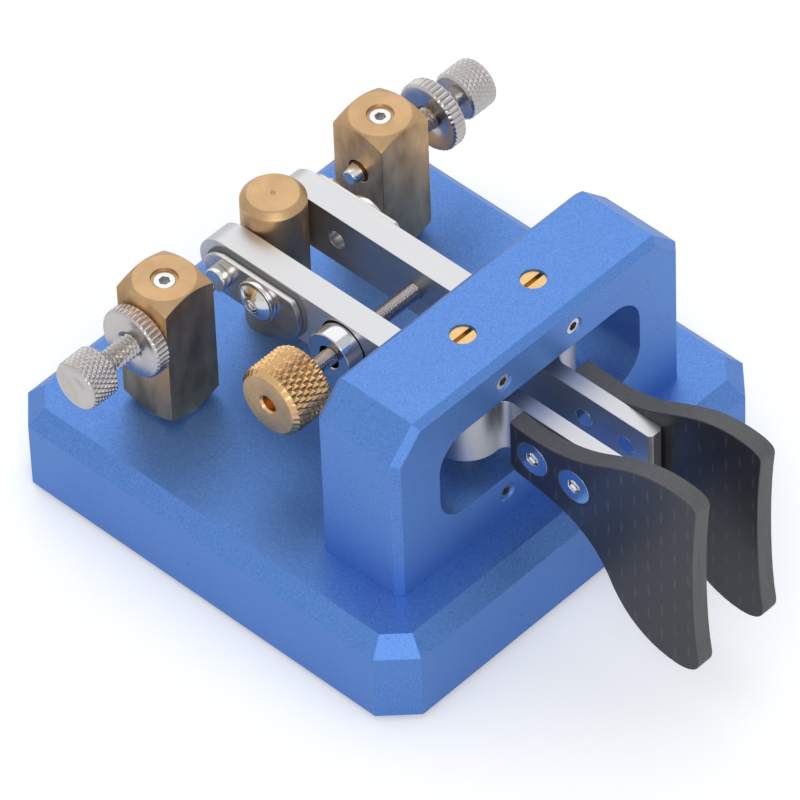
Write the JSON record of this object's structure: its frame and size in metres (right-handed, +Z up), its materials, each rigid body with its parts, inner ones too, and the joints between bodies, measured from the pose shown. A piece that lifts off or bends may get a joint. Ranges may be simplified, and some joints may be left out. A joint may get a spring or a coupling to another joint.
{
  "type": "dual paddle keyer",
  "caption": "Twin-lever telegraph paddle: carbon fibre finger pieces on pivoted aluminium levers in a blue bridge, with brass contact posts and magnetic return.",
  "frame": {"origin": "centre of the base plate in plan, at the level of the table that the rubber feet stand on", "axes": "+X towards the right-hand paddle, -Y towards the operator's fingers, +Z up"},
  "size_m": [0.0808, 0.1051, 0.0447],
  "materials": {
    "anodised": "bead-blasted blue anodising",
    "rubber": "matt",
    "aluminium": "satin, as milled",
    "carbon": "woven carbon fibre plate, satin",
    "steel": "bright stainless steel",
    "plate_steel": "ground stainless steel",
    "dark_steel": "blackened steel",
    "insulation": "grey insulating sheet",
    "brass": "turned brass, lightly tarnished",
    "silver": "polished silver",
    "magnet": "nickel plate",
    "nylon": "natural nylon",
    "black_plastic": "moulded",
    "wire": "insulated wire"
  },
  "bodies": {
    "frame": {"base_plate": "anodised", "rubber_feet": "rubber", "bridge_block": "anodised", "bridge_screws": "steel", "pivot_screws": "brass", "pivot_lock_screws": "dark_steel", "bearing_inner_rings": "steel", "bearing_balls": "steel", "left_contact_post": "brass", "right_contact_post": "brass", "post_set_screws": "dark_steel", "post_bushes": "nylon", "post_washers": "nylon", "post_screws": "steel", "solder_lugs": "brass", "stop_post": "brass", "jack_body": "black_plastic", "jack_barrel": "steel", "jack_nut": "steel", "jack_terminals": "brass", "wires": "wire"},
    "left_lever_arm": {"left_lever": "aluminium", "left_paddle": "carbon", "left_paddle_screws": "steel", "left_contact_plate": "plate_steel", "left_plate_backing": "insulation", "left_plate_screw": "steel", "left_contact_rivet": "silver", "left_bearing_outer_rings": "steel", "lever_magnet": "magnet"},
    "right_lever_arm": {"right_lever": "aluminium", "right_paddle": "carbon", "right_paddle_screws": "steel", "right_contact_plate": "plate_steel", "right_plate_backing": "insulation", "right_plate_screw": "steel", "right_contact_rivet": "silver", "right_bearing_outer_rings": "steel", "tension_rod": "steel"},
    "left_point_slide": {"left_contact_point": "silver"},
    "left_contact_thumbscrew": {"left_contact_screw": "steel"},
    "right_point_slide": {"right_contact_point": "silver"},
    "right_contact_thumbscrew": {"right_contact_screw": "steel"},
    "left_nut_turn": {"left_lock_nut": "steel"},
    "right_nut_turn": {"right_lock_nut": "steel"},
    "knob_slide": {"knob_magnet": "magnet"},
    "knob_turn": {"tension_knob": "brass"}
  },
  "joints": [
    {"name": "left_lever_swing", "type": "hinge", "parent": "frame", "child": "left_lever_arm", "pos_m": [-0.007, -0.0221, 0.0301], "axis": [0, 0, 1], "range_deg": [0, 1.09], "stiffness_Nm_per_rad": 0.05, "springref_deg": -5.73},
    {"name": "right_lever_swing", "type": "hinge", "parent": "frame", "child": "right_lever_arm", "pos_m": [0.007, -0.0221, 0.0301], "axis": [0, 0, -1], "range_deg": [0, 1.09], "stiffness_Nm_per_rad": 0.05, "springref_deg": -5.73},
    {"name": "left_contact_travel", "type": "slide", "parent": "frame", "child": "left_point_slide", "axis": [-1, 0, 0], "range_m": [-0.00025, 0.002]},
    {"name": "left_contact_turn", "type": "hinge", "parent": "left_point_slide", "child": "left_contact_thumbscrew", "pos_m": [-0.03, 0.0204, 0.0301], "axis": [-1, 0, 0], "range_deg": [-150, 1200.01]},
    {"name": "left_lock_nut_turn", "type": "hinge", "parent": "frame", "child": "left_nut_turn", "pos_m": [-0.027, 0.0204, 0.0301], "axis": [-1, 0, 0], "range_deg": [0, 60]},
    {"name": "right_contact_travel", "type": "slide", "parent": "frame", "child": "right_point_slide", "axis": [1, 0, 0], "range_m": [-0.0018, 0.002]},
    {"name": "right_contact_turn", "type": "hinge", "parent": "right_point_slide", "child": "right_contact_thumbscrew", "pos_m": [0.03, 0.0204, 0.0301], "axis": [1, 0, 0], "range_deg": [-1080.01, 1200.01]},
    {"name": "right_lock_nut_turn", "type": "hinge", "parent": "frame", "child": "right_nut_turn", "pos_m": [0.027, 0.0204, 0.0301], "axis": [1, 0, 0], "range_deg": [0, 60]},
    {"name": "tension_travel", "type": "slide", "parent": "right_lever_arm", "child": "knob_slide", "axis": [-1, 0, 0], "range_m": [-0.003, 0.002]},
    {"name": "tension_turn", "type": "hinge", "parent": "knob_slide", "child": "knob_turn", "pos_m": [-0.02, -0.0015, 0.0301], "axis": [-1, 0, 0], "range_deg": [-2400.02, 1600.02]}
  ],
  "couplings": [
    {"joint": "left_contact_turn", "follows": "left_contact_travel", "rad_per_m": 10472},
    {"joint": "right_contact_turn", "follows": "right_contact_travel", "rad_per_m": 10472},
    {"joint": "tension_turn", "follows": "tension_travel", "rad_per_m": 13963}
  ]
}
